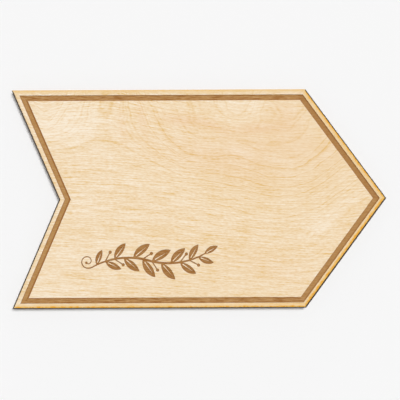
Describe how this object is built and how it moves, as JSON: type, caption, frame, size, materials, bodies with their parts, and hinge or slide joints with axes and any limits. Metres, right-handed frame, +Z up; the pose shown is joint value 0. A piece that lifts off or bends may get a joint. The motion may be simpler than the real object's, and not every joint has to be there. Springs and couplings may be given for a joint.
{
  "type": "wooden arrow sign",
  "caption": "Flat arrow-shaped wall sign in pale plywood with an engraved border line and leafy sprig, hung by a sawtooth strip on its back.",
  "frame": {"origin": "where the wall nail bears: the top of the middle notch in the hanger's toothed edge, in the plane of the wall, on the upright line through the sign's balance point", "axes": "upright as it hangs: +X along the wall towards the arrow's tip, +Y into the wall so that the front looks along -Y, +Z up"},
  "size_m": [0.305, 0.0083, 0.178],
  "materials": {
    "plywood": "pale birch-faced plywood, bare and sanded, with scorched brown engraving and edges",
    "hanger_strip": "bright brass plating on thin sheet steel",
    "screw": "bright brass plating"
  },
  "bodies": {
    "root": {"board": "plywood", "sawtooth_hanger": "hanger_strip", "hanger_screw_left": "screw", "hanger_screw_right": "screw"}
  },
  "joints": []
}
